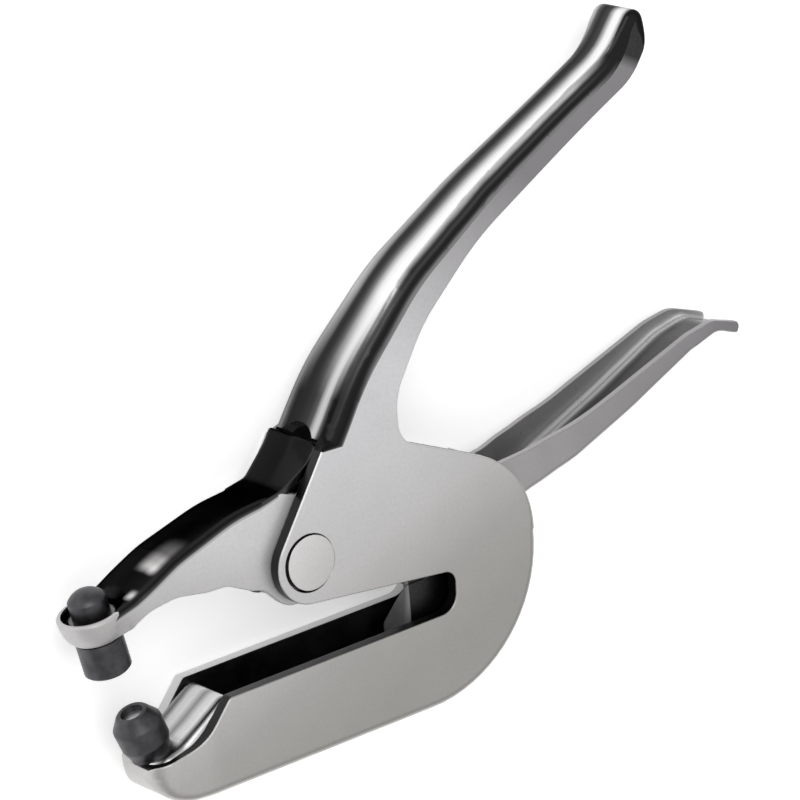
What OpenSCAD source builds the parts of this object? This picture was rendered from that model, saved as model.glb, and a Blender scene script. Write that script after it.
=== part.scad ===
// Folded-steel hole punch and eyelet plier: a C-shaped frame with a fixed handle, a hinged upper
// jaw and a sprung handle lever that drives the jaw through a pin and slot at half its own angle.
// Millimetres. The tool lies on its far side plate: Z runs across its width, X along the lower jaw
// towards the rear, Y towards the upper jaw. The origin is the jaw pivot's axis on the far face.

/* [Frame] */
// Width of the frame over its two side plates
frame_w = 21.5; // [20:0.5:24]
// Thickness of the frame's sheet
frame_t = 3.0; // [2.6:0.1:3.2]
// Loss of handle width per millimetre along the handle
handle_taper = 0.1235; // [0.08:0.005:0.13]

/* [Jaw lever] */
// Width of the jaw lever where it runs inside the frame
jaw_w = 14.7; // [14:0.1:14.8]
// Thickness of the jaw lever's sheet
jaw_t = 2.2; // [1.8:0.1:2.2]
// Radius of the jaw tip's rim
tip_r = 7.9; // [7:0.1:9.5]
// Angle through which the jaw closes
jaw_close = 13.5; // [12:0.5:15]

/* [Handle lever] */
// Width of the handle lever inside the frame
lever_w = 9.9; // [9:0.1:9.9]
// Width of the handle lever at the grip
grip_w = 17.5; // [14:0.1:19]
// Thickness of the handle lever's sheet
lever_t = 1.8; // [1.4:0.1:2]

/* [Pins] */
// Radius of the jaw pivot pin
jaw_pin_r = 6.4; // [5:0.1:6.4]
// Radius of the handle pivot pin
lever_pin_r = 4.0; // [3:0.1:4]
// Radius of the drive pin
drive_pin_r = 3.0; // [2:0.1:3]
// Radial running clearance of a pin in its hole
run = 0.05; // [0.02:0.01:0.08]

/* [Dies] */
// Radius of the round dies
die_r = 5.4; // [4.5:0.1:5.6]
// Outer radius of the punch tube
punch_r = 2.3; // [1.5:0.1:2.4]
// Gap left between the centres of the dies when the jaw is closed
die_gap = 0.55; // [0.5:0.05:1]
// Lean of the upper die from +Y with the jaw open
upper_tilt = 10.5; // [8:0.5:14]
// Lean of the lower die from +Y
anvil_tilt = 19.5; // [17:0.5:22]

/* [Return spring] */
// Radius of the spring wire
wire_r = 0.8; // [0.5:0.1:0.8]
// Number of coils
coils = 3; // [2:1:4]

/* [Hidden] */
$fn = 64;

mid = frame_w / 2;
far_out = 200;              // reach of a cutting shape beyond the part
steel = [0.82, 0.81, 0.81];
chrome = [0.35, 0.35, 0.38];
gunmetal = [0.32, 0.32, 0.33];

// Pivot of the handle lever. The drive pin sits as far from it as it is from the jaw pivot, so
// the two arms make an isosceles triangle and the jaw always turns at half the lever's angle.
lever_pivot = [20, 2];
drive_arm = norm(lever_pivot);
lever_dir = atan2(lever_pivot[1], lever_pivot[0]);
lever_close = 2 * jaw_close;
drive_pin_at = lever_pivot + drive_arm * dir(lever_dir - jaw_close);
slot_dir = lever_dir - jaw_close / 2;
slot_in = 2 * drive_arm * cos(jaw_close / 2);
slot_out = 2 * drive_arm;
jaw_gap = (frame_w - 2 * frame_t - jaw_w) / 2;
window_r = 8;

// Foot of the upper die with the jaw open, and top of the lower die where the closed jaw brings
// it; their faces are parallel a little before that, on work a few millimetres thick
die_foot = [-49.5, -12.0];
foot_dir = atan2(die_foot[1], die_foot[0]);
anvil_top = norm(die_foot) * dir(foot_dir + jaw_close) - die_gap * dir(90 + anvil_tilt);
skirt_s = 8.8;              // heights along the upper die's axis: bottom of the jaw's skirt,
rim_s = 15.1;               // its rim,
dish_s = 13.0;              // and the floor of its dished recess
seat_s = -11.8;             // height of the lower die's seat, below its working face
saddle_t = 2.5;
seat = anvil_top + seat_s * dir(90 + anvil_tilt);
shank_r = 3.4;
skin = 0.8;                 // sheet left outside the blind seats of the handle pivot pin

spring_r = 9.3;
spring_z = [8.6, 13.2];
anchor_at = [13.0, 20.2];

function dir(a) = [cos(a), sin(a)];
function unit(v) = v / norm(v);
function turn(a) = a > 180 ? a - 360 : (a < -180 ? a + 360 : a);

// One corner [x, y, r] of an outline, drawn as an arc of radius r
function corner(p, q, s) =
    let (v = [q[0], q[1]],
         a = unit([p[0], p[1]] - v),
         b = unit([s[0], s[1]] - v),
         half = acos(a * b) / 2,
         c = v + unit(a + b) * q[2] / sin(half),
         start = v + a * q[2] / tan(half) - c,
         stop = v + b * q[2] / tan(half) - c,
         from = atan2(start[1], start[0]),
         sweep = turn(atan2(stop[1], stop[0]) - from),
         n = max(1, ceil(abs(sweep) / 10)))
    q[2] == 0 ? [v] : [for (i = [0:n]) c + q[2] * dir(from + sweep * i / n)];

function outline(c) =
    [for (i = [0:len(c) - 1], p = corner(c[(i + len(c) - 1) % len(c)], c[i], c[(i + 1) % len(c)])) p];

// Side view of the whole frame: nose, throat, lower jaw, rear, neck and fixed handle
frame_side = outline([
    [-16.3, -7.8, 9.3], [39.3, -14.3, 3], [38.7, -23.8, 4.5], [-25.8, -24, 1.5], [-33.5, -32.6, 16],
    [-52, -35.9, 0], [-52, -40.5, 0], [-42, -45.8, 16], [64.1, -45.8, 34], [64.1, 4, 24],
    [27.6, 20.6, 6], [28.3, 31, 14], [38.5, 45, 40], [57, 59.7, 70], [96, 79.3, 60],
    [107.5, 85.0, 16], [113.6, 93.5, 9], [111, 103.5, 3], [101.5, 92.4, 20], [60, 71.9, 120],
    [36, 57.6, 60], [16.5, 39.5, 60]]);

// Space between the side plates: all but the web, which the sheet's thickness leaves outside it
frame_inside = outline([
    [-70, 30.1, 0], [1.7, 30.1, 0], [9.8, 24.5, 0], [19, 37.6, 57], [37.8, 55.2, 57],
    [61.4, 69.3, 117], [103.2, 89.9, 17], [109.7, 99.2, 1.4], [111.2, 96.2, 2], [109.5, 80, 0],
    [112, 70, 0], [150, 60, 0], [150, -8.5, 0],
    [61.1, -8.5, 0], [61.1, -42.8, 31], [-40.5, -42.8, 13], [-50, -37.8, 0], [-60, -20, 0],
    [-70, -20, 0]]);

jaw_side = outline([
    [-61.9, 1.6, 0], [-45.5, 4.9, 10], [-34, 10.6, 30], [-17, 15.8, 40], [-6.5, 16.9, 3],
    [1.2, 14.6, 1.5], [22, 11.2, 20], [47.2, 5.6, 6.6], [46.3, -8.4, 6.6], [-5.5, -9.9, 6],
    [-11, -4, 4], [-14.5, -3, 3], [-21, 0.3, 5], [-26.5, 0.6, 10], [-35, 2.2, 14],
    [-43, 1.2, 8], [-46.5, -1.9, 0], [-59.5, -4.6, 0]]);

jaw_inside = outline([
    [-43.5, -30, 0], [-43.5, 3.5, 1], [-34, 8.3, 30], [-17, 13.5, 40], [-4, 15.3, 0], [-4, 40, 0],
    [70, 40, 0], [70, -30, 0]]);

tongue_side = outline([
    [-9, 16.3, 0], [-3.4, 17.4, 3], [2.6, 23.6, 12], [4.9, 27.0, 0.8], [6.5, 25.9, 0.8],
    [4.3, 22.4, 12], [-2.8, 15.2, 0], [-9, 14.1, 0]]);

lever_side = outline([
    [10.6, 12, 8.3], [57, 4.1, 40], [84, 9.8, 80], [116, 20.6, 12], [124, 22, 7],
    [133.6, 18.6, 1.2], [132.2, 16.4, 0.8], [126, 18, 6], [118, 16.1, 14], [98, 6.9, 60],
    [80, -0.2, 60], [64, -5, 50], [46, -16, 15], [40.5, -35.5, 4], [27.8, -34.5, 2.5], [29, -14, 4],
    [25, -9.2, 8], [11.6, -7.2, 7.9]]);

lever_inside = outline([
    [-10, 60, 0], [-10, -14, 0], [31.1, -12.6, 2], [29.8, -32.6, 1.4], [38.4, -33.4, 2.6],
    [44.4, -15.2, 14], [63.1, -3.3, 52], [79.3, 1.6, 60], [97.3, 8.7, 60], [117.2, 17.9, 14],
    [126, 19.8, 6], [140, 15, 0], [140, 60, 0]]);

far_cut = [[26, 21.5], [32, 16.9], [48, 9], [56, 4.9], [60, 12], [30, 30]];

module slab(z0, z1) { translate([0, 0, z0]) linear_extrude(z1 - z0) children(); }

// Widths drawn in a plan [distance along a direction in the side view, z], extruded square to it
module plan(angle) {
    rotate([0, 0, angle]) rotate([90, 0, 0])
        translate([0, 0, -far_out]) linear_extrude(2 * far_out) children();
}

module pin(at, r, z0, z1) { translate([at[0], at[1], z0]) cylinder(r = r, h = z1 - z0); }

module tube(at, r_in, r_out, z0, z1) {
    difference() {
        pin(at, r_out, z0, z1);
        pin(at, r_in, z0 - 1, z1 + 1);
    }
}

// A shape of revolution stood on a die axis that leans by tilt from +Y
module on_axis(at, tilt) {
    translate([at[0], at[1], mid]) rotate([0, 0, tilt]) rotate([-90, 0, 0]) children();
}

// Frame: one folded sheet, both side plates and the web along its handle, rear and lower jaw
taper_from = 34;
taper_to = 111;
handle_end = 150;
module frame_plan(inset) {
    near = handle_taper / 2 * (taper_to - taper_from);
    polygon([[-far_out, inset], [taper_from, inset], [taper_to, near + inset],
             [handle_end, near + inset - 1], [handle_end, frame_w - near - inset + 1],
             [taper_to, frame_w - near - inset], [taper_from, frame_w - inset],
             [-far_out, frame_w - inset]]);
}

// Plan of the lower jaw, whose plates draw in to a round nose: side at z, nose from x0 to x1
module nose_plan(z, x0, r0, x1, z1, r1) {
    polygon(outline([[far_out, z, 0], [x0, z, r0], [x1, z1, r1], [x1, frame_w - z1, r1],
                     [x0, frame_w - z, r0], [far_out, frame_w - z, 0]]));
}
module nose_outside() { plan(0) nose_plan(0, -34, 25, -48.6, 6.3, 6); }
module nose_inside() { plan(0) nose_plan(frame_t, -33.4, 22, -47.4, 7, 3.7); }

module frame() {
    relief_r = 7;
    color(steel) difference() {
        intersection() {
            slab(0, frame_w) polygon(frame_side);
            plan(60) frame_plan(0);
            nose_outside();
        }
        intersection() {
            slab(frame_t, frame_w - frame_t) polygon(frame_inside);
            plan(60) frame_plan(frame_t);
            nose_inside();
        }
        // shallow arch in the web's lower end, over the jaw's tongue
        translate([5.1, 22.56, mid]) rotate([0, 0, 55]) rotate([90, 0, 0])
            cylinder(r = relief_r, h = 12, center = true);
        // the far plate stands lower than the near one behind the neck
        slab(-1, frame_t + 0.1) polygon(far_cut);
        pin([0, 0], jaw_pin_r, -1, frame_w + 1);
        pin(lever_pivot, lever_pin_r, skin, frame_w - skin);
    }
}

// Ramp between the plates that carries the lower die
module anvil_saddle() {
    top = [-24, -25.2];
    fold = seat + 5.6 * dir(anvil_tilt);
    color(chrome) difference() {
        intersection() {
            slab(frame_t, frame_w - frame_t) polygon(frame_inside);
            slab(frame_t, frame_w - frame_t)
                polygon([seat - 9 * dir(anvil_tilt), fold, top, top + saddle_t * dir(-55),
                         fold + saddle_t * dir(-65), seat + [1, -2.6] - 9 * dir(anvil_tilt)]);
            nose_inside();
        }
        on_axis(anvil_top, anvil_tilt) translate([0, 0, -20]) cylinder(r = shank_r, h = 12);
    }
}

module lower_die_body() {
    recess_r = punch_r + 0.35;
    color(gunmetal) on_axis(anvil_top, anvil_tilt) rotate_extrude() polygon([
        [0, -1.9], [recess_r, -1.9], [recess_r, 0], [3.6, 0], [4.0, -0.4], [die_r + 0.3, -3.0],
        [die_r + 0.4, -3.6], [die_r + 0.3, -8], [die_r - 0.6, -10.6], [die_r - 0.7, seat_s],
        [shank_r - 0.02, seat_s], [shank_r - 0.02, seat_s - 3.0],
        [shank_r - 0.7, seat_s - 3.0], [shank_r - 0.7, seat_s - 4.2],
        [shank_r - 0.02, seat_s - 4.2], [shank_r - 0.4, seat_s - 4.8], [0, seat_s - 4.8]]);
}

module lower_die_insert() {
    color("silver") on_axis(anvil_top, anvil_tilt) translate([0, 0, -1.9])
        cylinder(r = punch_r + 0.33, h = 0.6);
}

module lower_die_clip() {
    color("silver") on_axis(anvil_top, anvil_tilt) translate([0, 0, seat_s - 4.15])
        difference() {
            cylinder(r = 4.2, h = 1.1);
            translate([0, 0, -1]) cylinder(r = shank_r - 0.68, h = 4);
            translate([-1.2, 0, -1]) cube([2.4, 8, 4]);
        }
}

module jaw_pivot_pin() { color(steel) pin([0, 0], jaw_pin_r, 0, frame_w); }

module jaw_thrust_washers() {
    gap = jaw_gap - 0.1;
    color("silver") for (z = [frame_t + 0.05, frame_w - frame_t - gap - 0.05])
        tube([0, 0], jaw_pin_r + 0.02, 8.4, z, z + gap);
}

module handle_pivot_pin() { color(steel) pin(lever_pivot, lever_pin_r, skin, frame_w - skin); }

module handle_pivot_spacers() {
    long = (frame_w - lever_w) / 2 - frame_t - 0.1;
    color("silver") for (z = [frame_t + 0.05, frame_w - frame_t - long - 0.05])
        tube(lever_pivot, lever_pin_r + 0.02, lever_pin_r + 1.2, z, z + long);
}

module spring_anchor_pin() { color("silver") pin(anchor_at, 1.5, frame_t, frame_w - frame_t); }

// Torsion spring: its coils turn round the jaw bush, one leg bears on the frame's anchor pin and
// the other lifts the jaw's web
leg_a = 118;
leg_b = 85 + 360 * coils;
leg_a_long = 22.5;
leg_b_long = 23;
coil_steps = 20 * coils;
function coil_point(i) =
    let (a = leg_a + (leg_b - leg_a) * i / coil_steps)
    [spring_r * cos(a), spring_r * sin(a),
     spring_z[0] + (spring_z[1] - spring_z[0]) * i / coil_steps];
function spring_path() = concat(
    [coil_point(0) + leg_a_long * [sin(leg_a), -cos(leg_a), 0]],
    [for (i = [0:coil_steps]) coil_point(i)],
    [coil_point(coil_steps) + leg_b_long * [-sin(leg_b), cos(leg_b), 0]]);

// Tube of radius r swept along path, with flat ends
module wire(path, r, sides = 8) {
    last = len(path) - 1;
    function along(i) = unit(path[min(i + 1, last)] - path[max(i - 1, 0)]);
    rings = [for (i = [0:last], k = [0:sides - 1])
        let (t = along(i), u = unit(cross([0, 0, 1], t)), v = cross(t, u), a = 360 * k / sides)
        path[i] + r * (cos(a) * u + sin(a) * v)];
    walls = [for (i = [0:last - 1], k = [0:sides - 1])
        [i * sides + k, i * sides + (k + 1) % sides,
         (i + 1) * sides + (k + 1) % sides, (i + 1) * sides + k]];
    polyhedron(rings, concat(walls, [[for (k = [sides - 1:-1:0]) k]],
                             [[for (k = [0:sides - 1]) last * sides + k]]));
}

module return_spring() { color("silver") wire(spring_path(), wire_r); }

// Jaw lever: an inverted channel, flared towards its skirted tip, with a tongue at the frame
flare_from = -12;
flare_to = -46;
module jaw_plan(inset) {
    a = mid - jaw_w / 2 + inset;
    b = mid - tip_r + inset;
    polygon([[flare_to - 8, b], [flare_to, b], [flare_from, a], [far_out, a],
             [far_out, frame_w - a], [flare_from, frame_w - a], [flare_to, frame_w - b],
             [flare_to - 8, frame_w - b]]);
}

module jaw_lever() {
    tongue_w = 14.4;
    half = drive_pin_r + run + 0.02;
    color(chrome) difference() {
        union() {
            difference() {
                intersection() {
                    slab(0, frame_w) polygon(jaw_side);
                    plan(0) jaw_plan(0);
                }
                intersection() {
                    slab(0, frame_w) polygon(jaw_inside);
                    plan(0) jaw_plan(jaw_t);
                }
            }
            intersection() {
                on_axis(die_foot, upper_tilt) translate([0, 0, skirt_s])
                    cylinder(r1 = tip_r - 2.1, r2 = tip_r, h = rim_s - skirt_s);
                slab(0, frame_w) polygon(outline([[-70, -1.5, 0], [-61.9, 1.6, 3], [-45.5, 4.9, 10],
                                                  [-30, 12, 0], [-30, -20, 0], [-70, -20, 0]]));
            }
            slab(mid - tongue_w / 2, mid + tongue_w / 2) polygon(tongue_side);
        }
        on_axis(die_foot, upper_tilt) {
            translate([0, 0, dish_s]) cylinder(r = 6.3, h = 12);
            cylinder(r = shank_r, h = 20);
            translate([0, 0, -3]) cylinder(r = die_r + 0.3, h = skirt_s + 3);
        }
        pin([0, 0], jaw_pin_r + run, -1, frame_w + 1);
        // radial slot for the drive pin
        slab(-1, frame_w + 1) rotate(slot_dir) polygon(outline([
            [slot_in - half, -half, half], [slot_out + half, -half, half],
            [slot_out + half, half, half], [slot_in - half, half, half]]));
        // window that passes the handle pivot's spacers as the jaw swings
        pin(drive_arm * dir(lever_dir - jaw_close / 2), window_r, -1, frame_w + 1);
    }
}

module jaw_pivot_bush() {
    half = jaw_w / 2 - jaw_t - 0.05;
    color("silver") tube([0, 0], jaw_pin_r + run, 8, mid - half, mid + half);
}

module upper_die_body() {
    color(gunmetal) on_axis(die_foot, upper_tilt) rotate_extrude() polygon([
        [punch_r, 0], [die_r - 0.5, 0], [die_r, 0.5], [die_r, 8.3], [die_r - 0.5, 8.45],
        [die_r - 0.5, skirt_s], [shank_r - 0.02, skirt_s], [shank_r - 0.02, 16.4], [0, 16.4],
        [0, 8], [punch_r, 8]]);
}

module upper_die_washer() {
    color("silver") on_axis(die_foot, upper_tilt) translate([0, 0, dish_s]) difference() {
        cylinder(r = 5.3, h = 0.8);
        translate([0, 0, -1]) cylinder(r = shank_r, h = 3);
    }
}

module upper_die_nut() {
    base = dish_s + 0.8;
    nut_r = 4.4;
    color(gunmetal) on_axis(die_foot, upper_tilt) difference() {
        intersection() {
            translate([0, 0, base + 1.3]) sphere(r = nut_r + 0.9);
            translate([0, 0, base]) cylinder(r = nut_r, h = 7);
        }
        translate([0, 0, base - 1]) cylinder(r = shank_r, h = 3.7);
    }
}

module punch_tube() {
    edge = 0.9;
    color("silver") on_axis(die_foot, upper_tilt) rotate_extrude() polygon([
        [punch_r - 0.6, -edge], [punch_r - 0.4, -edge], [punch_r - 0.02, 0], [punch_r - 0.02, 7.9],
        [punch_r - 0.6, 7.9]]);
}

// Handle lever: a channel open towards the fixed handle, widening from its nose to the grip
module lever_plan(inset) {
    a = mid - lever_w / 2 + inset;
    b = mid - 6.15 + inset;
    c = mid - grip_w / 2 + inset;
    polygon([[-far_out, a], [48, a], [57, b], [78, c + 0.25], [92, c], [120, c], [132, c + 2.6],
             [132, frame_w - c - 2.6], [120, frame_w - c], [92, frame_w - c],
             [78, frame_w - c - 0.25], [57, frame_w - b],
             [48, frame_w - a], [-far_out, frame_w - a]]);
}

module handle_lever() {
    color(steel) difference() {
        intersection() {
            slab(0, frame_w) polygon(lever_side);
            plan(18) lever_plan(0);
        }
        intersection() {
            slab(0, frame_w) polygon(lever_inside);
            plan(18) lever_plan(lever_t);
        }
        pin(lever_pivot, lever_pin_r + run, -1, frame_w + 1);
        pin(drive_pin_at, drive_pin_r, -1, frame_w + 1);
    }
}

module handle_pivot_bush() {
    half = lever_w / 2 - lever_t - 0.05;
    color("silver") tube(lever_pivot, lever_pin_r + run, 6, mid - half, mid + half);
}

module drive_pin() {
    half = frame_w / 2 - frame_t - 0.4;
    color("silver") pin(drive_pin_at, drive_pin_r, mid - half, mid + half);
}

frame();
anvil_saddle();
lower_die_body();
lower_die_insert();
lower_die_clip();
jaw_pivot_pin();
jaw_thrust_washers();
handle_pivot_pin();
handle_pivot_spacers();
spring_anchor_pin();
return_spring();
jaw_lever();
jaw_pivot_bush();
upper_die_body();
upper_die_washer();
upper_die_nut();
punch_tube();
handle_lever();
handle_pivot_bush();
drive_pin();
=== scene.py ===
"""Hole punch plier: folded nickel-plated frame, chromed jaw lever, handle lever, dies and spring.
Lengths in the helpers are in millimetres, in the CAD frame; finished meshes are scaled to metres."""
import math

import bmesh
import bpy
from mathutils import Matrix, Vector


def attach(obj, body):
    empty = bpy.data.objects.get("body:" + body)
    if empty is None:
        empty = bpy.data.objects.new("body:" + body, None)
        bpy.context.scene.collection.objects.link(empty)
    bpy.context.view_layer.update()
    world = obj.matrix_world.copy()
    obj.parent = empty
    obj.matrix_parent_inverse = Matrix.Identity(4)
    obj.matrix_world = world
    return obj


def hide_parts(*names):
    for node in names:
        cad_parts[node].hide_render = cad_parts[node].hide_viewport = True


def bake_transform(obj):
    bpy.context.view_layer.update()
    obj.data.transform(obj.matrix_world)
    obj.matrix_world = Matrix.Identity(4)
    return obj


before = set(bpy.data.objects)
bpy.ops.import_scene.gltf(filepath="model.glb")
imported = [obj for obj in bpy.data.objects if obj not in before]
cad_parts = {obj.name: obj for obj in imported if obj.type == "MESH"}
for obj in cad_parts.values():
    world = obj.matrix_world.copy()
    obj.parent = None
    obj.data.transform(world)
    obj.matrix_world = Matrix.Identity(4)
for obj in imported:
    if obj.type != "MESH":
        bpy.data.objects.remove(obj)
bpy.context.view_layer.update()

W = 21.5                    # width over the side plates
MID = W / 2
T = 3.0                     # frame sheet
BEND_RINGS = 6              # rings of faces round each bent edge
SIDE_ROWS = 6               # rows of faces between the two bent edges
LATHE_STEPS = 72            # faces round a turned shape


# ---------------------------------------------------------------- outlines
def outline(corners, step=5.0, longest=3.0):
    """Points (x, y, s) of a closed outline of [x, y, r] corners. s runs from j - 0.25 to j + 0.25
    round corner j and from j + 0.25 to j + 0.75 along the straight after it."""
    n = len(corners)
    arcs = []
    for j, (x, y, r) in enumerate(corners):
        v = Vector((x, y))
        a = (Vector(corners[j - 1][:2]) - v).normalized()
        b = (Vector(corners[(j + 1) % n][:2]) - v).normalized()
        if r == 0:
            arcs.append([(x, y, j)])
            continue
        half = math.acos(max(-1, min(1, a.dot(b)))) / 2
        c = v + (a + b).normalized() * r / math.sin(half)
        p, q = v + a * r / math.tan(half) - c, v + b * r / math.tan(half) - c
        t0 = math.atan2(p.y, p.x)
        sweep = (math.atan2(q.y, q.x) - t0 + math.pi) % (2 * math.pi) - math.pi
        m = max(2, math.ceil(abs(math.degrees(sweep)) / step), math.ceil(abs(sweep) * r / longest))
        arcs.append([(c.x + r * math.cos(t0 + sweep * i / m), c.y + r * math.sin(t0 + sweep * i / m),
                      j - 0.25 + 0.5 * i / m) for i in range(m + 1)])
    points = []
    for j, arc in enumerate(arcs):
        points += arc
        (x0, y0, _), (x1, y1, _) = arc[-1], arcs[(j + 1) % n][0]
        m = math.ceil(math.hypot(x1 - x0, y1 - y0) / longest)
        points += [(x0 + (x1 - x0) * i / m, y0 + (y1 - y0) * i / m, j + 0.25 + 0.5 * i / m)
                   for i in range(1, m)]
    return points


def table(s, rows):
    """Smooth interpolation between the rows (s, value)."""
    if s <= rows[0][0]:
        return rows[0][1]
    for (a, u), (b, v) in zip(rows, rows[1:]):
        if s <= b:
            t = (s - a) / (b - a)
            return u + (v - u) * t * t * (3 - 2 * t)
    return rows[-1][1]


def rounded_prism(corners, z0, z1, bends, finish=None):
    """A bmesh of the outline between z0 and z1. bends gives each edge's rounding by s, and
    finish(s, part) the material index of a face of a "cap", a "round" or an "edge"."""
    pts = outline(corners)
    n = len(pts)
    area = sum(pts[i - 1][0] * pts[i][1] - pts[i][0] * pts[i - 1][1] for i in range(n))
    sign = 1 if area > 0 else -1
    inward = []
    for i in range(n):
        a, b, c = (Vector(pts[k][:2]) for k in (i - 1, i, (i + 1) % n))
        d = (b - a).normalized() + (c - b).normalized()
        d = d.normalized() if d.length > 1e-6 else (c - a).normalized()
        bend = (b - a).normalized().dot(d)
        inward.append(Vector((-d.y, d.x)) * sign / max(bend, 0.5))
    bm = bmesh.new()

    def ring(k, side):
        t = math.pi / 2 * k / BEND_RINGS
        row = []
        for (x, y, s), nrm in zip(pts, inward):
            r = table(s, bends)
            d, dz = r * (1 - math.sin(t)), r * (1 - math.cos(t))
            z = z0 + dz if side == 0 else z1 - dz
            row.append(bm.verts.new((x + nrm.x * d, y + nrm.y * d, z)))
        return row

    rows = [ring(k, 0) for k in range(BEND_RINGS + 1)]
    top = [ring(k, 1) for k in range(BEND_RINGS, -1, -1)]
    for i in range(1, SIDE_ROWS):
        rows.append([bm.verts.new(a.co.lerp(b.co, i / SIDE_ROWS))
                     for a, b in zip(rows[BEND_RINGS], top[0])])
    rows += top
    for k, (a, b) in enumerate(zip(rows, rows[1:])):
        part = "round" if k < BEND_RINGS or k >= len(rows) - 1 - BEND_RINGS else "edge"
        for i in range(n):
            j = (i + 1) % n
            f = bm.faces.new((a[i], a[j], b[j], b[i]))
            f.material_index = finish(pts[i][2], part) if finish else 0
    for row in (rows[0], rows[-1]):
        bm.faces.new(row).material_index = finish(0, "cap") if finish else 0
    bmesh.ops.recalc_face_normals(bm, faces=bm.faces)
    return bm


def arc_across(z, half, r):
    """0 on the near flat side, 1 on the far one, and in between by length round the bends."""
    dz, rz = half - abs(z - MID), r * half / MID
    a = r * math.acos(max(-1.0, min(1.0, 1 - dz / rz))) if dz < rz else r * math.pi / 2 + dz - rz
    share = a / (r * math.pi + 2 * (half - rz))
    return min(1.0, max(0.0, share if z > MID else 1 - share))


def bisect(bm, normal, offsets):
    """Cuts every face along the planes at these offsets, so the mesh can follow a taper."""
    n = Vector(normal).normalized()
    for d in offsets:
        geom = bm.verts[:] + bm.edges[:] + bm.faces[:]
        bmesh.ops.bisect_plane(bm, geom=geom, plane_co=n * d, plane_no=n, dist=1e-4)


def lathe(profile, foot, tilt):
    """A bmesh of revolution of [r, s] about an axis that leans by tilt degrees from +Y."""
    bm = bmesh.new()
    t = math.radians(tilt)
    axis, side = Vector((-math.sin(t), math.cos(t), 0)), Vector((math.cos(t), math.sin(t), 0))
    up = Vector((0, 0, 1))
    base = Vector((foot[0], foot[1], MID))
    rows = []
    for r, s in profile:
        if r < 1e-6:
            rows.append([bm.verts.new(base + axis * s)])
        else:
            rows.append([bm.verts.new(base + axis * s + (side * math.cos(a) + up * math.sin(a)) * r)
                         for a in (2 * math.pi * k / LATHE_STEPS for k in range(LATHE_STEPS))])
    for a, b in zip(rows, rows[1:]):
        for k in range(LATHE_STEPS):
            m = (k + 1) % LATHE_STEPS
            if len(a) == 1:
                bm.faces.new((a[0], b[m], b[k]))
            elif len(b) == 1:
                bm.faces.new((a[k], a[m], b[0]))
            else:
                bm.faces.new((a[k], a[m], b[m], b[k]))
    for row in (rows[0], rows[-1]):
        if len(row) > 1:
            bm.faces.new(row)
    bmesh.ops.recalc_face_normals(bm, faces=bm.faces)
    return bm


def z_cylinder(at, r):
    """A cylinder across the whole width and 2 mm past each side."""
    bm = bmesh.new()
    bmesh.ops.create_cone(bm, cap_ends=True, segments=96, radius1=r, radius2=r, depth=W + 4,
                          matrix=Matrix.Translation((at[0], at[1], MID)))
    return bm


def to_object(bm, name, materials):
    mesh = bpy.data.meshes.new(name)
    bm.to_mesh(mesh)
    bm.free()
    obj = bpy.data.objects.new(name, mesh)
    bpy.context.collection.objects.link(obj)
    for m in materials:
        mesh.materials.append(m)
    return obj


def paint(bm, index):
    for f in bm.faces:
        f.material_index = index
    return bm


def combine(obj, bm, operation, materials):
    """Boolean of obj with bm, whose faces keep their own material index."""
    tool = to_object(bm, "tool", materials)
    mod = obj.modifiers.new("b", "BOOLEAN")
    mod.operation, mod.object, mod.solver = operation, tool, "EXACT"
    mod.use_hole_tolerant = True
    bpy.context.view_layer.update()
    deps = bpy.context.evaluated_depsgraph_get()
    mesh = bpy.data.meshes.new_from_object(obj.evaluated_get(deps))
    obj.modifiers.clear()
    old, obj.data = obj.data, mesh
    bpy.data.meshes.remove(old)
    bpy.data.objects.remove(tool)


def finish_piece(obj, body, replaced, across=None):
    """A piece with body None isn't made to ride with any body."""
    bm = bmesh.new()
    bm.from_mesh(obj.data)
    bmesh.ops.remove_doubles(bm, verts=bm.verts, dist=2e-3)
    bmesh.ops.dissolve_degenerate(bm, dist=1e-4, edges=bm.edges)
    bmesh.ops.triangulate(bm, faces=[f for f in bm.faces if len(f.verts) > 4])
    bm.to_mesh(obj.data)
    bm.free()
    if across:
        layer = obj.data.attributes.new("across", "FLOAT", "POINT")
        for v in obj.data.vertices:
            layer.data[v.index].value = across(v.co)
    obj.data.transform(Matrix.Scale(0.001, 4))
    obj.data.shade_smooth()
    obj.data.set_sharp_from_angle(angle=math.radians(38))
    mod = obj.modifiers.new("weighted", "WEIGHTED_NORMAL")
    mod.keep_sharp, mod.weight = True, 90
    if body:
        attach(obj, body)
    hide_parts(replaced)
    return obj


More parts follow.
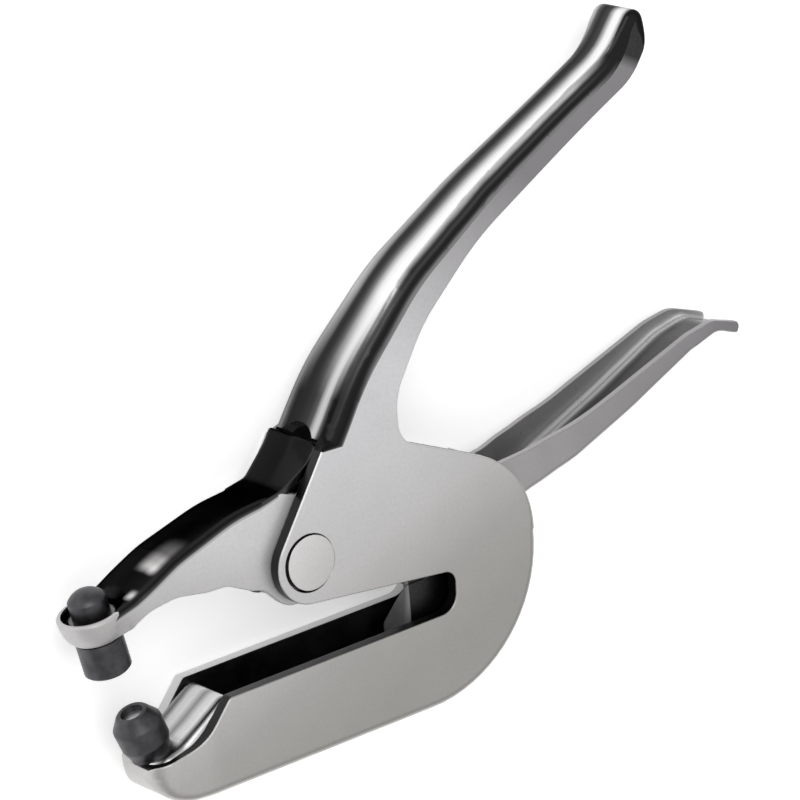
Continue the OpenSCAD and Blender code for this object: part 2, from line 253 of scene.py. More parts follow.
# ---------------------------------------------------------------- materials
class Nodes:
    """Short names for building one node material."""
    GRAIN_SCALE, GRAIN_HEIGHT = 2500, 0.000004
    SOFTENED = 0.0003           # radius by which every edge's shading is rounded

    def __init__(self, name):
        self.mat = bpy.data.materials.new(name)
        self.mat.use_nodes = True
        self.tree = self.mat.node_tree
        self.bsdf = self.tree.nodes["Principled BSDF"]
        self.coord = self.add("ShaderNodeTexCoord").outputs["Object"]

    def add(self, kind, **values):
        node = self.tree.nodes.new(kind)
        for key, value in values.items():
            setattr(node, key, value)
        return node

    def link(self, a, b):
        self.tree.links.new(a, b)
        return b

    def noise(self, scale, detail=3.0, stretch=(1, 1, 1)):
        mapping = self.add("ShaderNodeMapping")
        mapping.inputs["Scale"].default_value = stretch
        self.link(self.coord, mapping.inputs["Vector"])
        node = self.add("ShaderNodeTexNoise")
        node.inputs["Scale"].default_value = scale
        node.inputs["Detail"].default_value = detail
        node.inputs["Roughness"].default_value = 0.55
        self.link(mapping.outputs["Vector"], node.inputs["Vector"])
        return node.outputs["Fac"]

    def ramp(self, fac, stops, mode="LINEAR"):
        node = self.add("ShaderNodeValToRGB")
        node.color_ramp.interpolation = mode
        elements = node.color_ramp.elements
        while len(elements) > 1:
            elements.remove(elements[-1])
        for i, (pos, col) in enumerate(stops):
            e = elements[0] if i == 0 else elements.new(pos)
            e.position = pos
            e.color = (*col, 1) if hasattr(col, "__len__") else (col, col, col, 1)
        self.link(fac, node.inputs["Fac"])
        return node.outputs["Color"]

    def remap(self, value, a, b, c, d):
        node = self.add("ShaderNodeMapRange")
        for key, v in zip(("From Min", "From Max", "To Min", "To Max"), (a, b, c, d)):
            node.inputs[key].default_value = v
        self.link(value, node.inputs["Value"])
        return node.outputs["Result"]

    def mix(self, fac, a, b):
        node = self.add("ShaderNodeMix", data_type="RGBA")
        for value, socket in ((fac, node.inputs[0]), (a, node.inputs[6]), (b, node.inputs[7])):
            if hasattr(value, "is_output"):
                self.link(value, socket)
            elif hasattr(value, "__len__"):
                socket.default_value = (*value, 1)
            else:
                socket.default_value = value
        return node.outputs[2]

    def math(self, op, a, b=0.0):
        node = self.add("ShaderNodeMath", operation=op)
        for value, socket in ((a, node.inputs[0]), (b, node.inputs[1])):
            if hasattr(value, "is_output"):
                self.link(value, socket)
            else:
                socket.default_value = value
        return node.outputs[0]

    def along(self, direction, start, end):
        """0 at start and 1 at end millimetres along a direction of the CAD frame."""
        node = self.add("ShaderNodeVectorMath", operation="DOT_PRODUCT")
        node.inputs[1].default_value = Vector(direction).normalized()
        self.link(self.coord, node.inputs[0])
        return self.remap(node.outputs["Value"], start / 1000, end / 1000, 0, 1)

    def attribute(self, name):
        return self.add("ShaderNodeAttribute", attribute_name=name).outputs["Fac"]

    def metal(self, colour, rough, metallic=1.0, edge=1.0):
        """Finishes the material; edge below 1 darkens the reflections at a grazing angle."""
        b = self.bsdf
        b.inputs["Metallic"].default_value = metallic
        b.inputs["Specular Tint"].default_value = (edge, edge, edge, 1)
        self.link(colour, b.inputs["Base Color"])
        self.link(rough, b.inputs["Roughness"])
        bump = self.add("ShaderNodeBump")
        bump.inputs["Strength"].default_value = 0.5
        bump.inputs["Distance"].default_value = self.GRAIN_HEIGHT
        self.link(self.noise(self.GRAIN_SCALE, 2), bump.inputs["Height"])
        bevel = self.add("ShaderNodeBevel", samples=4)
        bevel.inputs["Radius"].default_value = self.SOFTENED
        self.link(bevel.outputs["Normal"], bump.inputs["Normal"])
        self.link(bump.outputs["Normal"], b.inputs["Normal"])
        return self.mat


def shade_graded_plate_material(name, light, dark, direction, start, end, rough=0.34, metallic=1.0):
    """Satin plated sheet whose tone drifts along a direction as painted shade, with soft clouding and grain.
    """
    k = Nodes(name)
    tone = k.mix(k.along(direction, start, end), light, dark)
    return finish_plate(k, tone, rough, metallic)


def finish_plate(k, tone, rough, metallic=1.0):
    """Fine specks and soft clouding over a plate's tone."""
    speck = k.remap(k.noise(1400, 2), 0.35, 0.75, 0.0, 0.10)
    tone = k.mix(speck, tone, (0.20, 0.19, 0.19))
    cloudy = k.remap(k.noise(45, 4), 0.35, 0.7, 0.0, 0.08)
    tone = k.mix(cloudy, tone, (0.30, 0.29, 0.28))
    return k.metal(tone, k.remap(k.noise(160, 4), 0.2, 0.8, rough - 0.05, rough + 0.07), metallic)


def frame_plate_material():
    """The side plates: lightest at the neck, greyer towards the lower jaw and up the handle, near black at
    the handle's end; all painted shade.
    """
    k = Nodes("frame_plate")
    # painted shade: lighter at the neck, darker towards the lower jaw and up the handle
    body = k.ramp(k.along((0.35, -0.94, 0), -20, 42), [
        (0.0, (0.74, 0.73, 0.745)), (0.45, (0.62, 0.61, 0.61)), (0.72, (0.455, 0.445, 0.43)),
        (1.0, (0.40, 0.39, 0.37))])
    tone = k.mix(k.along((0.5, 0.866, 0), 48, 98), body, (0.285, 0.275, 0.285))
    # painted shade: the handle's end goes near black
    tone = k.mix(k.along((0.5, 0.866, 0), 129, 132), tone, (0.04, 0.04, 0.042))
    return finish_plate(k, tone, 0.34)


def reflection_striped_material(name, stops, rough=0.16, vary=0.02):
    """Bright plate with painted reflection bands that follow the across attribute from the near plate to the
    far one.
    """
    k = Nodes(name)
    wave = k.remap(k.noise(55, 3), 0.2, 0.8, -vary / 2, vary / 2)
    pos = k.math("ADD", k.attribute("across"), wave)
    tone = k.ramp(pos, stops)
    return k.metal(tone, k.remap(k.noise(220, 3), 0.2, 0.8, rough - 0.04, rough + 0.08))


def web_material():
    """The handle's bright web: its painted reflection bands narrow and dim towards the lower end."""
    k = Nodes("frame_web")
    wave = k.remap(k.noise(55, 3), 0.2, 0.8, -0.01, 0.01)
    pos = k.math("ADD", k.attribute("across"), wave)
    # painted reflection: light and dark bands across the web, by the across attribute
    upper = k.ramp(pos, [
        (0.0, 0.24), (0.030, 0.20), (0.05, 0.06), (0.07, 0.018), (0.10, 0.02), (0.13, 0.06), (0.155, 0.03),
        (0.175, 0.07), (0.20, 0.42), (0.225, 0.80), (0.30, 0.82), (0.37, 0.74), (0.42, 0.46),
        (0.47, 0.17), (0.52, 0.06), (0.57, 0.03), (0.61, 0.05), (0.65, 0.28), (0.71, 0.5), (1.0, 0.75)])
    lower = k.ramp(pos, [
        (0.0, 0.30), (0.02, 0.05), (0.05, 0.014), (0.12, 0.02), (0.15, 0.014), (0.22, 0.014),
        (0.25, 0.10), (0.275, 0.44), (0.31, 0.50), (0.34, 0.36), (0.38, 0.09), (0.45, 0.04),
        (0.56, 0.025), (0.67, 0.022), (0.71, 0.08), (0.75, 0.26), (0.84, 0.24), (1.0, 0.5)])
    end = k.ramp(pos, [(0.0, 0.02), (0.21, 0.02), (0.27, 0.50), (0.32, 0.80), (0.40, 0.78), (0.45, 0.35),
                       (0.50, 0.06), (0.60, 0.03), (0.68, 0.10), (0.76, 0.5), (1.0, 0.7)])
    tone = k.mix(k.along((0.5, 0.866, 0), 36, 62), lower, upper)
    tone = k.mix(k.along((0.5, 0.866, 0), 120, 130), tone, end)
    return k.metal(tone, k.remap(k.noise(220, 3), 0.2, 0.8, 0.13, 0.24), edge=0.5)


def jaw_web_material():
    """Bright plate with painted reflection: near-black, with a painted highlight patch in the dip and another
    beside the dish.
    """
    k = Nodes("jaw_web")
    pos = k.attribute("across")
    # painted reflection: near-black middle, lighter towards both edges
    tone = k.ramp(pos, [(0.0, 0.55), (0.03, 0.40), (0.055, 0.06), (0.10, 0.02), (0.50, 0.014),
                        (0.85, 0.02), (0.93, 0.10), (1.0, 0.4)])
    wave = k.remap(k.noise(120, 3), 0.2, 0.8, -0.02, 0.02)
    x = k.math("ADD", k.along((1, 0, 0), -50, -20), wave)
    # painted highlight patch in the dip
    dip = k.math("MULTIPLY",
                 k.ramp(x, [(0.35, 0.0), (0.42, 0.9), (0.48, 0.6), (0.57, 0.2), (0.76, 0.0)], "EASE"),
                 k.ramp(pos, [(0.17, 0.0), (0.30, 1.0), (0.38, 0.8), (0.60, 0.0)], "EASE"))
    # painted highlight beside the dish
    side = k.math("MULTIPLY", k.ramp(x, [(0.12, 0.0), (0.175, 1.0), (0.24, 0.0)], "EASE"),
                  k.ramp(pos, [(0.15, 0.0), (0.23, 1.0), (0.33, 0.0)], "EASE"))
    tone = k.mix(dip, tone, (0.74, 0.72, 0.72))
    tone = k.mix(side, tone, (0.60, 0.59, 0.59))
    return k.metal(tone, k.remap(k.noise(220, 3), 0.2, 0.8, 0.16, 0.28), edge=0.3)


def inside_material():
    """The frame's inner faces: dark with painted shade, bright round the lower die's seat with a painted
    highlight.
    """
    k = Nodes("frame_inside")
    # painted shade: dark clouded tone of the inner faces
    dark = k.mix(k.remap(k.noise(90, 4), 0.3, 0.7, 0, 1), (0.05, 0.048, 0.052), (0.11, 0.105, 0.115))
    # painted highlight near the nose, round the lower die's seat
    tone = k.mix(k.along((1, 0, 0), -33, -28), (0.55, 0.54, 0.54), dark)
    return k.metal(tone, k.remap(k.noise(180, 3), 0.2, 0.8, 0.28, 0.42), edge=0.3)


def simple_metal(name, a, b, rough, scale, metallic=1.0):
    """Metal clouded between two tones."""
    k = Nodes(name)
    tone = k.mix(k.remap(k.noise(scale, 4), 0.3, 0.7, 0, 1), a, b)
    return k.metal(tone, k.remap(k.noise(scale * 2, 3), 0.2, 0.8, rough - 0.06, rough + 0.10),
                   metallic=metallic)


def lever_flange_material():
    """The handle lever's satin sides, in deep shade at the nose inside the frame."""
    k = Nodes("lever_flange")
    tone = k.mix(k.along((1, 0.3, 0), 50, 130), (0.40, 0.39, 0.39), (0.30, 0.29, 0.30))
    tone = k.mix(k.along((0, -1, 0), 9, 13), tone, (0.02, 0.02, 0.022))
    return finish_plate(k, tone, 0.36)


def lever_inside_material():
    """The grip's channel: a floor with painted reflection streaks and a far wall darker with painted shade,
    in painted shade all through at the root.
    """
    k = Nodes("lever_inside")
    wave = k.remap(k.noise(60, 3, (0.4, 1, 1)), 0.2, 0.8, -0.02, 0.02)
    pos = k.math("ADD", k.attribute("across"), wave)
    # painted reflection streaks on the floor, painted shade on the near and far walls
    grip = k.ramp(pos, [(0.0, 0.05), (0.66, 0.06), (0.72, 0.20), (0.75, 0.60), (0.79, 0.75), (0.815, 0.42),
                        (0.84, 0.68), (0.87, 0.60), (0.885, 0.34), (1.0, 0.28)])
    # painted shade: dark all through at the root
    tone = k.mix(k.along((0.951, 0.309, 0), 58, 74), (0.20, 0.195, 0.20), grip)
    return k.metal(tone, k.remap(k.noise(220, 3), 0.2, 0.8, 0.24, 0.36), metallic=0.45)


M = {}
M["plate"] = frame_plate_material()
M["web"] = web_material()
# painted reflection on the cut edges: dark on the near half, lighter on the far one
M["cut"] = reflection_striped_material("frame_cut_edge", [
    (0.0, 0.03), (0.40, 0.04), (0.60, 0.50), (1.0, 0.62)], rough=0.3, vary=0.1)
M["inside"] = inside_material()
# painted shade: the jaw's flanges darken towards the lower rim
M["jaw_flange"] = shade_graded_plate_material("jaw_flange", (0.72, 0.71, 0.72), (0.50, 0.49, 0.49),
                                 (0.3, 1, 0), 4, -14, 0.42, 0.55)
M["jaw_web"] = jaw_web_material()
# painted shade: the jaw lever's dark inner faces
M["jaw_inside"] = simple_metal("jaw_inside", (0.05, 0.05, 0.055), (0.12, 0.115, 0.12), 0.3, 120)
M["lever_flange"] = lever_flange_material()
# painted light: a mid grey for the nose faces, lit beside the flange's painted shade
M["lever_nose"] = simple_metal("lever_nose", (0.15, 0.145, 0.15), (0.24, 0.235, 0.24), 0.4, 90, metallic=0.3)
M["washer"] = simple_metal("washer_steel", (0.10, 0.10, 0.105), (0.20, 0.195, 0.20), 0.3, 200)
M["lever_inside"] = lever_inside_material()
# painted reflection bands across the saddle
M["saddle"] = reflection_striped_material("saddle", [
    (0.0, 0.75), (0.10, 0.06), (0.20, 0.75), (0.34, 0.62), (0.46, 0.25), (0.60, 0.62), (0.72, 0.55),
    (0.82, 0.12), (1.0, 0.5)], rough=0.22, vary=0.08)
M["die"] = simple_metal("die_gunmetal", (0.050, 0.050, 0.054), (0.10, 0.10, 0.105), 0.38, 260)
# painted shade: the pin head darkens towards one side
M["pin"] = shade_graded_plate_material("pin_head", (0.78, 0.77, 0.77), (0.60, 0.59, 0.58), (1, -1, 0), -6, 6, 0.28)
M["steel"] = simple_metal("plain_steel", (0.42, 0.42, 0.43), (0.58, 0.57, 0.57), 0.28, 200)
M["wire"] = simple_metal("spring_wire", (0.25, 0.25, 0.27), (0.40, 0.40, 0.41), 0.25, 300)

# ---------------------------------------------------------------- frame
TILT = math.radians(60)


def handle_u(x, y):
    return x * math.cos(TILT) + y * math.sin(TILT)


def knee(d, k=7.0):
    """max(d, 0) with its kink rounded."""
    return 0.5 * (d + math.sqrt(d * d + k * k))


def frame_width(x, y):
    u = handle_u(x, y)
    return W - 0.1235 * (knee(u - 34) - 0.36 * math.exp(-((u - 34) / 30) ** 2)) + 0.178 * knee(u - 113, 10)


def nose_half(x, wall=0.0):
    """Half the lower jaw's width, drawn in towards a round tip; wall is the cavity's distance in."""
    end = 46.9 if wall == 0 else 45.5
    a = min(1.0, max(0.0, (-31 - x) / 11))
    t = min(1.0, max(0.0, (-40 - x) / (end - 40)))
    half = (MID - 1.7 * a * a * (3 - 2 * a)) * math.sqrt(max(0.03, 1 - t ** 2.3))
    return half - wall * (1 - 0.45 * a)


def shape_frame(bm, wall):
    """Draws the plates in along the handle and at the lower jaw's nose; wall is 0 for the outside."""
    bisect(bm, (math.cos(TILT), math.sin(TILT), 0), [24 + 4 * i for i in range(29)])
    bisect(bm, (math.cos(TILT), math.sin(TILT), 0), [25 + i for i in range(14)])
    bisect(bm, (1, 0, 0), [-31.5 - 1.5 * i for i in range(7)] + [-41.5 - 0.7 * i for i in range(11)])
    for v in bm.verts:
        half = min(frame_width(v.co.x, v.co.y) / 2 - wall, nose_half(v.co.x, wall))
        v.co.z = MID + (v.co.z - MID) * max(half, 1.0) / (MID - wall)
    return bm


FRAME = [
    [-16.3, -7.8, 9.3], [39.3, -14.3, 3], [38.7, -23.8, 4.5], [-25.8, -24, 1.5], [-33.5, -32.6, 16],
    [-47.2, -36.2, 2.4], [-43.2, -45.7, 11], [64, -45.7, 34], [64, 4, 24], [27.6, 20.6, 6],
    [28.3, 31, 14], [38.5, 45, 40], [57, 59.7, 70], [96, 79.3, 60], [107.5, 85, 16],
    [113.7, 93.7, 9], [111.4, 104.3, 3], [101.5, 92.4, 20], [60, 71.9, 120], [36, 57.6, 60],
    [16.5, 39.5, 60]]
FRAME_BENDS = [(0, .35), (4.5, .35), (5.0, .9), (5.25, 1.6), (5.6, 2.6), (6.2, 2.6),
               (7.6, 2.4), (8.1, .35), (14.7, .35), (15.2, 3), (15.8, 3), (16.3, 2.6), (17.3, 5),
               (20.375, 5), (20.41, .35), (21, .35)]
INSIDE = [
    [-70, 30.1, 0], [1.7, 30.1, 0], [9.8, 24.5, 0], [19, 37.6, 57], [37.8, 55.2, 57],
    [61.4, 69.3, 117], [103.2, 89.9, 17], [109.7, 99.2, 1.4], [111.2, 96.2, 2], [109.5, 80, 0],
    [112, 70, 0], [150, 60, 0], [150, -8.5, 0],
    [61, -8.5, 0], [61, -42.7, 31], [-38, -42.7, 9], [-45.5, -36, 0], [-60, -20, 0],
    [-70, -20, 0]]
INSIDE_BENDS = [(0, .05), (2.0, .05), (2.5, 1.8), (6, 1.8), (7, .05), (13, .05), (13.6, 1.6),
                (15.3, 1.6), (16, .05)]


PLATE, WEB, INNER, CUT = range(4)
mats = [M["plate"], M["web"], M["inside"], M["cut"]]


def frame_finish(s, part):
    """The handle's web gets painted reflection bands; the other open edges are cut, with the cut edge's
    painted reflection, except round the nose and rear.
    """
    if part == "cap":
        return PLATE
    if 14.8 < s < 20.4:
        return WEB
    return PLATE if part == "round" or 4.9 < s < 7.9 else CUT


bm = rounded_prism(FRAME, 0, W, FRAME_BENDS, finish=frame_finish)
bm = shape_frame(bm, 0)
body = to_object(bm, "frame_body", mats)
inside = shape_frame(rounded_prism(INSIDE, T, W - T, INSIDE_BENDS), T)
combine(body, paint(inside, INNER), "DIFFERENCE", mats)
relief = bmesh.new()        # half-round notch in the web's end, where the tongue stands
bmesh.ops.create_cone(relief, cap_ends=True, segments=64, radius1=7, radius2=7, depth=12,
                      matrix=Matrix.Translation((5.1, 22.56, MID)) @ Matrix.Rotation(math.radians(55), 4, "Z")
                      @ Matrix.Rotation(math.radians(90), 4, "X"))
combine(body, paint(relief, CUT), "DIFFERENCE", mats)
FAR_CUT = [[26, 21.5, 0], [32, 16.9, 0], [48, 9, 0], [56, 4.9, 0], [60, 12, 0], [30, 30, 0]]
far_cut = rounded_prism(FAR_CUT, -1, T + 0.8, [(0, .05), (6, .05)])
combine(body, paint(far_cut, CUT), "DIFFERENCE", mats)
PIN_HOLE = (-0.5, 0.1), 6.85        # a little wider than the jaw pivot's head
combine(body, paint(z_cylinder(*PIN_HOLE), INNER), "DIFFERENCE", mats)


def frame_across(co):
    half = min(frame_width(co.x, co.y) / 2, nose_half(co.x))
    return arc_across(co.z, half, 5)


finish_piece(body, "frame", "frame", across=frame_across)

# ---------------------------------------------------------------- jaw lever
DIE_FOOT, DIE_TILT = (-49.5, -12.0), 10.5
JAW = [
    [-52.25, 2.75, 0], [-45.5, 4.9, 10], [-34, 10.6, 30], [-17, 15.8, 40], [-4.2, 17.0, 2],
    [1.2, 14.9, 1.5], [22, 11.2, 20], [47.2, 5.6, 6.6], [46.3, -8.4, 6.6], [-5.5, -9.9, 6],
    [-11, -4, 4], [-14.5, -3, 3], [-21, 0.3, 5], [-26.5, 0.6, 10], [-35, 2.2, 14],
    [-43, 1.2, 10], [-46.5, -1.9, 3], [-51.1, -3.35, 0]]
JAW_BENDS = [(0, 2.0), (3.3, 2.0), (4.1, .3), (15, .3), (17.4, .3), (18, 2.0)]
JAW_IN = [
    [-43.5, -30, 0], [-43.5, 3.4, 1], [-34, 8.2, 30], [-17, 13.5, 40], [-4, 15.3, 0],
    [-4, 40, 0], [70, 40, 0], [70, -30, 0]]
BOWL = [(8.8, 5.75), (9.1, 6.05), (10.0, 6.75), (11.2, 7.25), (12.6, 7.6), (14.2, 7.8)]
LEAN = math.radians(DIE_TILT)


def die_coords(x, y):
    """Distance behind and height along the upper die's axis."""
    dx, dy = x - DIE_FOOT[0], y - DIE_FOOT[1]
    return dx * math.cos(LEAN) + dy * math.sin(LEAN), dy * math.cos(LEAN) - dx * math.sin(LEAN)


def jaw_half(x, y):
    a, s = die_coords(x, y)
    t = min(1.0, max(0.0, (a + 0.5) / 15))
    t = t * t * (3 - 2 * t)
    flange = 7.35 + 1.2 * min(1.0, max(0.0, (-12 - x) / 30))
    return (1 - t) * table(s, BOWL) + t * flange


def shape_jaw(bm, wall):
    bisect(bm, (1, 0, 0), [-52 + 1.5 * i for i in range(28)])
    bisect(bm, (-math.sin(LEAN), math.cos(LEAN), 0), [-3 + 1.2 * i for i in range(9)])
    for v in bm.verts:
        half = jaw_half(v.co.x, v.co.y) - wall
        v.co.z = MID + (v.co.z - MID) * half / (7.35 - wall)
    return bm


FLANGE, BACK, HOLLOW = range(3)
mats = [M["jaw_flange"], M["jaw_web"], M["jaw_inside"]]


def jaw_finish(s, part):
    return BACK if part != "cap" and (s < 4.1 or s > 17.4) else FLANGE


jaw = to_object(shape_jaw(rounded_prism(JAW, MID - 7.35, MID + 7.35, JAW_BENDS, finish=jaw_finish), 0),
                "jaw_lever_body", mats)
skirt = lathe([(0, 8.8), (5.5, 8.8)] + [(r + 0.02, s + 0.02) for s, r in BOWL]
              + [(7.85, 14.5), (7.7, 14.85), (7.45, 15.05), (7.1, 15.12), (0, 15.12)], DIE_FOOT, DIE_TILT)
combine(jaw, paint(skirt, FLANGE), "UNION", mats)
jaw_in = rounded_prism(JAW_IN, MID - 5.15, MID + 5.15, [(0, .05), (1, 1), (3.9, 1), (4.2, .05)])
combine(jaw, paint(shape_jaw(jaw_in, 2.2), HOLLOW), "DIFFERENCE", mats)
dish = lathe([(0, 13), (5.7, 13), (6.0, 13.15), (6.15, 13.6), (6.3, 14.4), (6.6, 15.0), (7.2, 15.5),
              (8.4, 16.2), (9.8, 17.4), (11.3, 20.2), (12.6, 24), (12.6, 30), (0, 30)], DIE_FOOT, DIE_TILT)
combine(jaw, paint(dish, BACK), "DIFFERENCE", mats)
socket = lathe([(0, -3), (5.7, -3), (5.7, 8.85), (0, 8.85)], DIE_FOOT, DIE_TILT)
combine(jaw, paint(socket, HOLLOW), "DIFFERENCE", mats)
JAW_HOLES = ((0, 0), 6.45), ((19.9, 0), 8.0), ((39.6, 0.3), 3.2)    # jaw pivot, handle pivot, drive pin
for at, r in JAW_HOLES:
    combine(jaw, paint(z_cylinder(at, r), HOLLOW), "DIFFERENCE", mats)
TONGUE = [
    [-9, 16.3, 0], [-3.4, 17.4, 3], [2.6, 23.6, 12], [4.9, 27.0, 0.8], [6.5, 25.9, 0.8],
    [4.3, 22.4, 12], [-2.8, 15.2, 0], [-9, 14.1, 0]]
tongue = rounded_prism(TONGUE, MID - 7.2, MID + 7.2, [(0, .3), (8, .3)])
bisect(tongue, (0.7, 0.7, 0), [9 + 1.5 * i for i in range(10)])
bisect(tongue, (0, 0, 1), [MID + 1.5, MID + 2, MID + 2.5] + [MID + 3.3 + 0.8 * i for i in range(5)])
for v in tongue.verts:      # its near side bends down towards the top
    up = min(1.0, max(0.0, (0.7 * (v.co.x + v.co.y) - 10) / 10))
    d = max(0.0, v.co.z - MID - 2)
    v.co.x += 0.42 * d * up
    v.co.y -= (0.20 * d + 0.04 * d * d) * up
combine(jaw, paint(tongue, BACK), "UNION", mats)
finish_piece(jaw, "jaw", "jaw_lever",
             across=lambda co: arc_across(co.z, jaw_half(co.x, co.y), 2.6))

# ---------------------------------------------------------------- handle lever
LEVER = [
    [10.6, 12, 8.3], [57, 4.1, 40], [84, 9.8, 80], [116, 20.6, 12], [124, 22, 7],
    [133.6, 18.8, 1.3], [132.3, 16.2, 0.9], [126, 18.6, 6], [118, 16.1, 14], [98, 6.9, 60],
    [80, -0.2, 60], [64, -5, 50], [46, -16, 15], [40.5, -35.5, 4], [27.8, -34.5, 2.5],
    [29, -14, 4], [25, -9.2, 8], [11.6, -7.2, 7.9]]
LEVER_BENDS = [(0, .3), (4.5, .3), (5, .5), (6.5, .6), (7.5, 1.6), (9, 2.4), (14.5, 1.2), (15.2, .3),
               (18, .3)]
LEVER_IN = [
    [-10, 60, 0], [-10, -14, 0], [31.1, -12.6, 2], [29.8, -32.6, 1.4], [38.4, -33.4, 2.6],
    [44.4, -15.2, 14], [63.1, -3.3, 52], [79.3, 1.6, 60], [97.3, 8.7, 60], [117.2, 17.9, 14],
    [126, 19.8, 6], [140, 15, 0], [140, 60, 0]]
GRIP = math.radians(18)


def lever_half(x, y):
    u = x * math.cos(GRIP) + y * math.sin(GRIP)
    half = table(u, [(46, 4.95), (58, 6.2), (68, 7.6), (78, 8.5), (92, 8.75), (114, 8.75)])
    return half - 0.008 * max(0, u - 119) ** 2


def shape_lever(bm, wall):
    bisect(bm, (math.cos(GRIP), math.sin(GRIP), 0), [46 + 2 * i for i in range(42)])
    for v in bm.verts:
        v.co.z = MID + (v.co.z - MID) * max(lever_half(v.co.x, v.co.y) - wall, 1.0) / (4.95 - wall)
    return bm


SIDE, CHANNEL, NOSE = range(3)
mats = [M["lever_flange"], M["lever_inside"], M["lever_nose"]]


def lever_finish(s, part):
    return NOSE if part != "cap" and 13.8 < s < 15.2 else SIDE


lever = rounded_prism(LEVER, MID - 4.95, MID + 4.95, LEVER_BENDS, finish=lever_finish)
lever = to_object(shape_lever(lever, 0), "handle_lever_body", mats)
lever_in = rounded_prism(LEVER_IN, MID - 3.15, MID + 3.15,
                         [(0, .05), (2, .05), (3, .9), (10, .9), (11, .05)])
combine(lever, paint(shape_lever(lever_in, 1.8), CHANNEL), "DIFFERENCE", mats)
LEVER_PIVOT = (20, 2), 4.05
combine(lever, paint(z_cylinder(*LEVER_PIVOT), CHANNEL), "DIFFERENCE", mats)
# Drawn as [y, z] and extruded along x: it cuts the far part of the nose away in a curve
chamfer = rounded_prism([[-16, 15.8, 0], [-21.5, 11.2, 8], [-29, 5.4, 0], [-29, 0, 0], [-15.6, 0, 0]],
                        24, 35.5, [(0, .05), (5, .05)])
chamfer.transform(Matrix(((0, 0, 1, 0), (1, 0, 0, 0), (0, 1, 0, 0), (0, 0, 0, 1))))
combine(lever, paint(chamfer, NOSE), "DIFFERENCE", mats)
finish_piece(lever, "handle", "handle_lever",
             across=lambda co: min(1, max(0, 0.5 - (co.z - MID) / (2 * lever_half(co.x, co.y)))))

# ---------------------------------------------------------------- saddle
SADDLE = [[-50.4, -37.6, 0], [-36.9, -32.4, 8], [-25.6, -25.0, 3], [-23.4, -25.4, 1], [-23.4, -28.5, 1],
          [-34, -36.5, 6], [-49, -40.5, 0]]
SADDLE_HALF = 7.73
saddle = rounded_prism(SADDLE, T + 0.02, W - T - 0.02,
                       [(0, 1.8), (2.6, 1.8), (3.2, .3), (6.2, .3), (7, 1.8)])
bisect(saddle, (1, 0, 0), [-47.2 + 0.7 * i for i in range(12)] + [-38 + 1.5 * i for i in range(9)])
for v in saddle.verts:
    half = max(0.8, min(SADDLE_HALF, nose_half(v.co.x, T) - 0.03))
    v.co.z = MID + (v.co.z - MID) * half / SADDLE_HALF
saddle = to_object(saddle, "saddle_ramp", [M["saddle"]])
combine(saddle, z_cylinder((-50.6, -38), 5.6), "DIFFERENCE", [M["saddle"]])
finish_piece(saddle, "frame", "anvil_saddle",
             across=lambda co: min(1, max(0, 0.5 - (co.z - MID) / 15.5)))

# ---------------------------------------------------------------- return spring
R_WIRE, R_COIL, COILS, LEG = 0.8, 9.3, 3, (22.5, 23.0)
a0, a1 = math.radians(118), math.radians(85 + 360 * COILS)
path = []
for i in range(12):
    path.append(Vector((R_COIL * math.cos(a0), R_COIL * math.sin(a0), 8.6))
                + LEG[0] * (1 - i / 12) * Vector((math.sin(a0), -math.cos(a0), 0)))
steps = 48 * COILS
for i in range(steps + 1):
    a = a0 + (a1 - a0) * i / steps
    path.append(Vector((R_COIL * math.cos(a), R_COIL * math.sin(a), 8.6 + 4.6 * i / steps)))
for i in range(1, 13):
    path.append(path[12 + steps] + LEG[1] * i / 12 * Vector((-math.sin(a1), math.cos(a1), 0)))
bm = bmesh.new()
rows = []
for i, p in enumerate(path):
    t = (path[min(i + 1, len(path) - 1)] - path[max(i - 1, 0)]).normalized()
    u = Vector((0, 0, 1)).cross(t).normalized()
    v = t.cross(u)
    rows.append([bm.verts.new(p + R_WIRE * (math.cos(k * math.pi / 6) * u + math.sin(k * math.pi / 6) * v))
                 for k in range(12)])
for a, b in zip(rows, rows[1:]):
    for k in range(12):
        bm.faces.new((a[k], a[(k + 1) % 12], b[(k + 1) % 12], b[k]))
bm.faces.new(rows[0])
bm.faces.new(rows[-1])
bmesh.ops.recalc_face_normals(bm, faces=bm.faces)
spring = finish_piece(to_object(bm, "return_spring_wire", [M["wire"]]), None,
                      "return_spring")
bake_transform(spring)

# ---------------------------------------------------------------- CAD pieces that stay
KEEP = {                    # node: material and the width of its rounded edges in mm
    "lower_die_body": ("die", 0.12), "lower_die_insert": ("steel", 0.05),
    "lower_die_clip": ("steel", 0.1), "jaw_pivot_pin": ("pin", 0.15), "jaw_thrust_washers": ("steel", 0.05),
    "handle_pivot_pin": ("plate", 0.1), "handle_pivot_spacers": ("steel", 0.15),
    "spring_anchor_pin": ("steel", 0.15), "jaw_pivot_bush": ("steel", 0.1), "upper_die_body": ("die", 0.15),
    "upper_die_washer": ("washer", 0.15), "upper_die_nut": ("die", 0.4), "punch_tube": ("steel", 0.05),
    "handle_pivot_bush": ("steel", 0.1), "drive_pin": ("steel", 0.2)}
for name, (material, width) in KEEP.items():
    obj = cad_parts[name]
    for slot in obj.material_slots:
        slot.link = "OBJECT"
        slot.material = M[material]
    bevel = obj.modifiers.new("edges", "BEVEL")
    bevel.width, bevel.segments, bevel.limit_method = width / 1000, 3, "ANGLE"
    bevel.angle_limit = math.radians(35)
    bevel.harden_normals = True

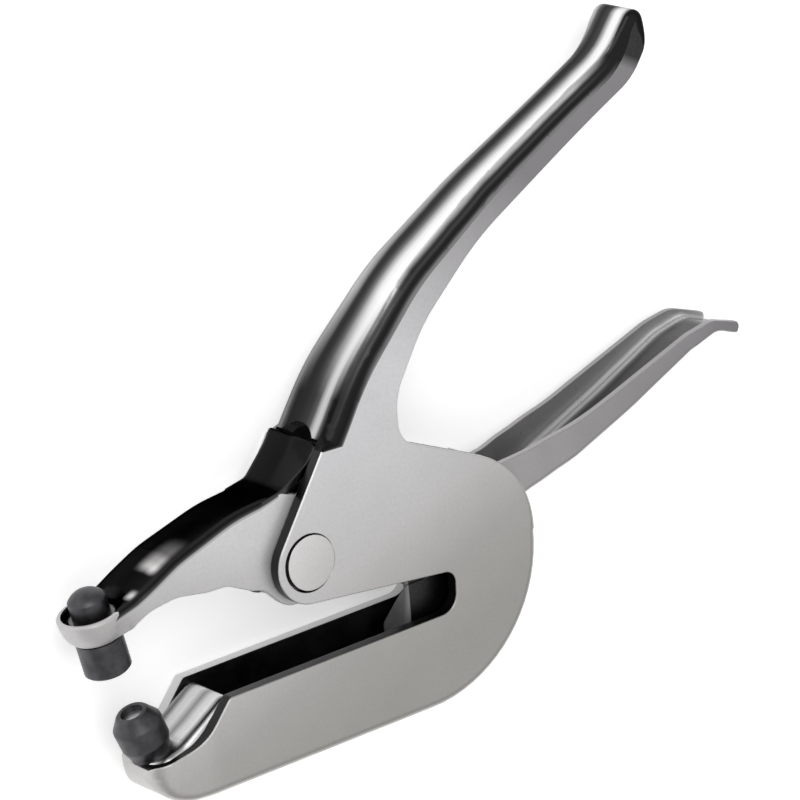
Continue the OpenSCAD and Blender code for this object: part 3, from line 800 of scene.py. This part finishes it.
# ---------------------------------------------------------------- floor, light and camera
floor_mesh = bpy.data.meshes.new("floor")
floor_mesh.from_pydata([(-4, -4, 0), (4, -4, 0), (4, 4, 0), (-4, 4, 0)], [], [(0, 1, 2, 3)])
floor = bpy.data.objects.new("floor", floor_mesh)
bpy.context.collection.objects.link(floor)
k = Nodes("pale_floor")
k.link(k.mix(k.remap(k.noise(3, 2), 0.3, 0.7, 0, 1), (0.93, 0.93, 0.93), (0.96, 0.96, 0.96)),
       k.bsdf.inputs["Base Color"])
k.bsdf.inputs["Emission Color"].default_value = (1, 1, 1, 1)
k.bsdf.inputs["Emission Strength"].default_value = 0.40
k.bsdf.inputs["Roughness"].default_value = 0.95
k.bsdf.inputs["Specular IOR Level"].default_value = 0.1
floor_mesh.materials.append(k.mat)
floor.location.z = -0.0002

world = bpy.data.worlds.new("studio")
bpy.context.scene.world = world
world.use_nodes = True
nodes, links = world.node_tree.nodes, world.node_tree.links
background = nodes["Background"]
coord = nodes.new("ShaderNodeTexCoord")
split = nodes.new("ShaderNodeSeparateXYZ")
links.new(coord.outputs["Generated"], split.inputs[0])
ramp = nodes.new("ShaderNodeValToRGB")
ramp.color_ramp.interpolation = "B_SPLINE"
ramp.color_ramp.elements[0].position, ramp.color_ramp.elements[0].color = 0.0, (0.9, 0.9, 0.9, 1)
ramp.color_ramp.elements[1].position, ramp.color_ramp.elements[1].color = 1.0, (1.0, 1.0, 1.0, 1)
for pos, c in ((0.30, 0.50), (0.5, 0.55), (0.62, 0.75), (0.8, 0.95)):
    ramp.color_ramp.elements.new(pos).color = (c, c, c, 1)
links.new(split.outputs["Z"], ramp.inputs["Fac"])
links.new(ramp.outputs["Color"], background.inputs["Color"])
background.inputs["Strength"].default_value = 1.0

light = bpy.data.lights.new("key", "AREA")
light.shape, light.size, light.size_y, light.energy = "RECTANGLE", 0.9, 0.9, 5
key_at, key_aim = Vector((-0.7, 0.9, 0.9)), Vector((0.02, 0.02, 0.0))
key = bpy.data.objects.new("key", light)
key.location = key_at
key.rotation_euler = (key_aim - key_at).to_track_quat("-Z", "Y").to_euler()
bpy.context.collection.objects.link(key)

scene = bpy.context.scene
to_camera = Vector((-0.556, 0.321, 0.765)).normalized()
right = Vector((0.784, -0.1005, 0.612))
right = (right - right.dot(to_camera) * to_camera).normalized()
up = to_camera.cross(right)
centre = (Vector((0, 0, W)) + 19.56 * right + 36.2 * up) / 1000
camera_data = bpy.data.cameras.new("camera")
camera_data.lens, camera_data.sensor_width, camera_data.sensor_height = 200, 36, 36
camera_data.clip_start = 0.01
camera = bpy.data.objects.new("camera", camera_data)
bpy.context.collection.objects.link(camera)
rotation = Matrix((right, up, to_camera)).transposed().to_4x4()
camera.matrix_world = Matrix.Translation(centre + 0.988 * to_camera) @ rotation
scene.camera = camera
scene.view_settings.view_transform = "Standard"
scene.view_settings.look = "None"
